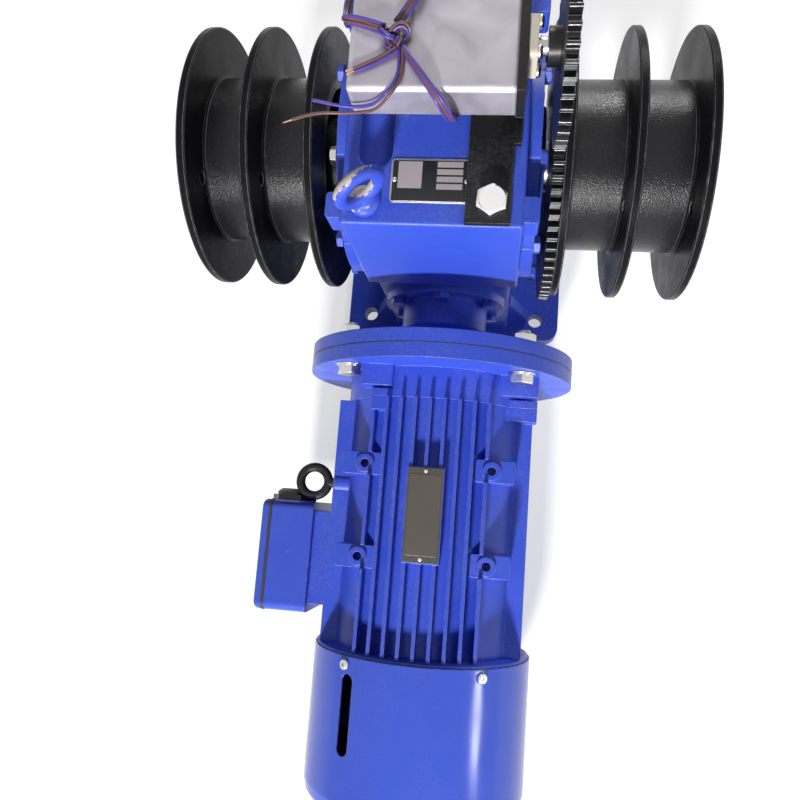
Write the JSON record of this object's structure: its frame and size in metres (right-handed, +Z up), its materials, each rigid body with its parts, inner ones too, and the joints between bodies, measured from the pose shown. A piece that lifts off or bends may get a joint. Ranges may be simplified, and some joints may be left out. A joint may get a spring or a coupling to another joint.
{
  "type": "electric winch",
  "caption": "Worm-gear electric winch with a disc-sided rope drum on each side, a flange-mounted brake motor and a gear-driven screw limit switch on top.",
  "frame": {"origin": "centre of the four foot holes, on the base plane of the feet", "axes": "+X along the drum axis towards the limit switch gear, +Y away from the motor, +Z up"},
  "size_m": [0.405, 0.6759, 0.4619],
  "materials": {
    "blue_paint": "semi-gloss blue machine paint",
    "drum_black": "semi-gloss black paint with a fine orange peel",
    "bracket_black": "black paint",
    "shaft_steel": "turned steel",
    "gear_steel": "dark steel with bright tooth tips",
    "zinc": "bright zinc plating",
    "wheel_iron": "machined cast iron",
    "bronze": "worm wheel bronze",
    "sheet_aluminium": "brushed bare sheet",
    "ivory": "moulded bearing plastic",
    "black_plastic": "matt black",
    "seal_rubber": "nitrile rubber",
    "core_steel": "stacked core sheet",
    "copper": "varnished copper winding",
    "friction": "brake lining",
    "wire_mixed": "purple and brown wire covering",
    "wire_purple": "purple wire covering",
    "wire_brown": "brown wire covering"
  },
  "bodies": {
    "base": {"bracket_bolts": "zinc", "brake_coil": "copper", "cable_gland": "black_plastic", "drive_end_shield": "blue_paint", "fan_cover": "blue_paint", "flange_bolts": "zinc", "gearbox_housing": "blue_paint", "guide_rod": "shaft_steel", "input_bell": "blue_paint", "lifting_eye": "blue_paint", "limit_bearing": "ivory", "limit_bracket": "bracket_black", "limit_bush": "bronze", "limit_cover": "sheet_aluminium", "limit_tray": "shaft_steel", "m5_screws": "zinc", "m8_screws": "zinc", "microswitches": "black_plastic", "motor_bearings": "shaft_steel", "motor_eye": "bracket_black", "motor_frame": "blue_paint", "oil_plugs": "zinc", "output_bearings": "shaft_steel", "output_seals": "seal_rubber", "rear_end_shield": "blue_paint", "side_covers": "blue_paint", "stator": "core_steel", "terminal_box": "blue_paint", "terminal_lid": "blue_paint", "wire_brown": "wire_brown", "wire_front": "wire_mixed", "wire_knot": "wire_mixed", "wire_loop": "wire_mixed", "wire_pair": "wire_mixed", "wire_purple": "wire_purple", "worm_bearings": "shaft_steel", "worm_end_cover": "blue_paint"},
    "drum": {"output_shaft": "shaft_steel", "shaft_keys": "shaft_steel", "worm_wheel_hub": "wheel_iron", "worm_wheel_rim": "bronze", "drum_barrel_left": "drum_black", "drum_barrel_right": "drum_black", "drum_discs_left": "drum_black", "drum_discs_right": "drum_black", "drum_gear": "gear_steel", "gear_screws": "zinc", "drum_end_plates": "drum_black", "drum_end_bolts": "zinc"},
    "rotor": {"worm_shaft": "shaft_steel", "motor_shaft": "shaft_steel", "rotor_core": "core_steel", "brake_disc": "friction", "fan": "black_plastic"},
    "limit_screw": {"limit_shaft": "shaft_steel", "limit_gear": "gear_steel"},
    "nut": {"travelling_nut": "bronze"},
    "left_plunger": {"plunger_left": "black_plastic"},
    "right_plunger": {"plunger_right": "black_plastic"},
    "armature": {"brake_armature": "shaft_steel"}
  },
  "joints": [
    {"name": "drum_spin", "type": "hinge", "parent": "base", "child": "drum", "pos_m": [0, 0, 0.228], "axis": [1, 0, 0], "range_deg": [-1530, 1530]},
    {"name": "motor_spin", "type": "hinge", "parent": "base", "child": "rotor", "pos_m": [0, -0.3, 0.128], "axis": [0, 1, 0], "range_deg": [-45900, 45900]},
    {"name": "limit_spin", "type": "hinge", "parent": "base", "child": "limit_screw", "pos_m": [0.07, 0, 0.399], "axis": [1, 0, 0], "range_deg": [-2830.5, 2830.5]},
    {"name": "nut_slide", "type": "slide", "parent": "base", "child": "nut", "axis": [1, 0, 0], "range_m": [-0.0236, 0.0236]},
    {"name": "left_switch_press", "type": "slide", "parent": "base", "child": "left_plunger", "axis": [-1, 0, 0], "range_m": [0, 0.002], "stiffness_N_per_m": 400},
    {"name": "right_switch_press", "type": "slide", "parent": "base", "child": "right_plunger", "axis": [1, 0, 0], "range_m": [0, 0.002], "stiffness_N_per_m": 400},
    {"name": "brake_release", "type": "slide", "parent": "base", "child": "armature", "axis": [0, -1, 0], "range_m": [0, 0.0006], "stiffness_N_per_m": 20000}
  ],
  "couplings": [
    {"joint": "motor_spin", "follows": "drum_spin", "ratio": -30},
    {"joint": "limit_spin", "follows": "drum_spin", "ratio": -1.85},
    {"joint": "nut_slide", "follows": "drum_spin", "m_per_rad": 0.00088331}
  ]
}
